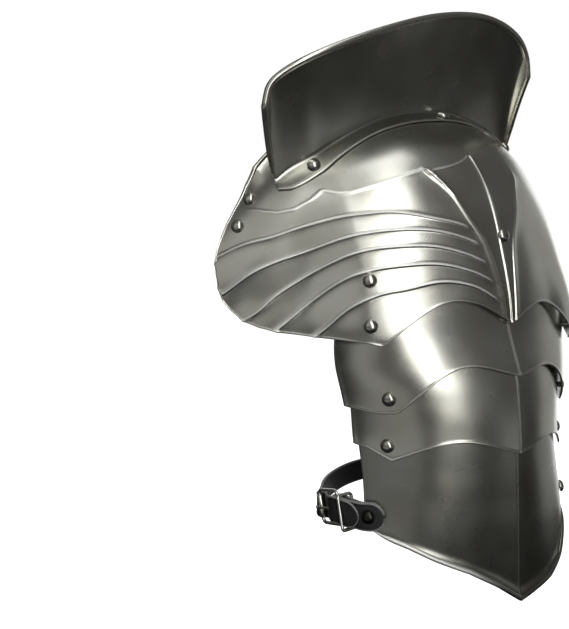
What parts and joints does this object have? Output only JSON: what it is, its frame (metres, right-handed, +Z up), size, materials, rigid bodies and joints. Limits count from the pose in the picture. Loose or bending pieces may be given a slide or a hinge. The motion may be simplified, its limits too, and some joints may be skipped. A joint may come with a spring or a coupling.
{
  "type": "pauldron",
  "caption": "Plate armour shoulder defence: ridged and fluted cap with a standing neck guard, hinged lames, an upper arm plate and a buckled leather arm strap.",
  "frame": {"origin": "top of the wearer's left shoulder, under the crown of the cap, where the piece rests", "axes": "+X out from the shoulder along the cap's middle ridge, -Y to the wearer's front, +Z up"},
  "size_m": [0.1829, 0.2831, 0.3898],
  "materials": {
    "plate_steel": "darkened steel with a satin polish",
    "bright_rivet": "polished steel domes",
    "black_leather": "matt with burnished edges",
    "buckle_wire": "nickel plated, slightly dulled"
  },
  "bodies": {
    "shoulder": {"shoulder_cap": "plate_steel", "neck_guard": "plate_steel", "neck_rivet_upper": "bright_rivet", "neck_rivet_lower": "bright_rivet", "wing_rivet": "bright_rivet", "ridge_rivet": "bright_rivet", "guard_rivet_front": "bright_rivet", "guard_rivet_middle": "bright_rivet", "guard_rivet_rear": "bright_rivet", "cap_hinge_front": "bright_rivet", "cap_hinge_rear": "bright_rivet"},
    "upper_lame": {"upper_lame": "plate_steel", "lame_hinge_front": "bright_rivet", "lame_hinge_rear": "bright_rivet"},
    "lower_lame": {"lower_lame": "plate_steel", "lower_hinge_front": "bright_rivet", "lower_hinge_rear": "bright_rivet"},
    "arm_plate": {"arm_plate": "plate_steel", "leather_tab": "black_leather", "tab_rivet": "bright_rivet", "arm_strap": "black_leather", "strap_rivet": "bright_rivet", "buckle_frame": "buckle_wire", "buckle_roller": "buckle_wire", "buckle_prong": "buckle_wire", "strap_keeper": "buckle_wire"}
  },
  "joints": [
    {"name": "cap_to_upper_lame", "type": "hinge", "parent": "shoulder", "child": "upper_lame", "pos_m": [0.03984, 0.08206, -0.13659], "axis": [-0.018, -0.9956, 0.0917], "range_deg": [0, 8]},
    {"name": "upper_to_lower_lame", "type": "hinge", "parent": "upper_lame", "child": "lower_lame", "pos_m": [0.04021, 0.07924, -0.18389], "axis": [0.0354, -0.9947, 0.0961], "range_deg": [0, 8]},
    {"name": "lower_lame_to_arm_plate", "type": "hinge", "parent": "lower_lame", "child": "arm_plate", "pos_m": [0.04208, 0.07775, -0.21664], "axis": [0.0142, -0.9956, 0.0926], "range_deg": [0, 8]}
  ]
}
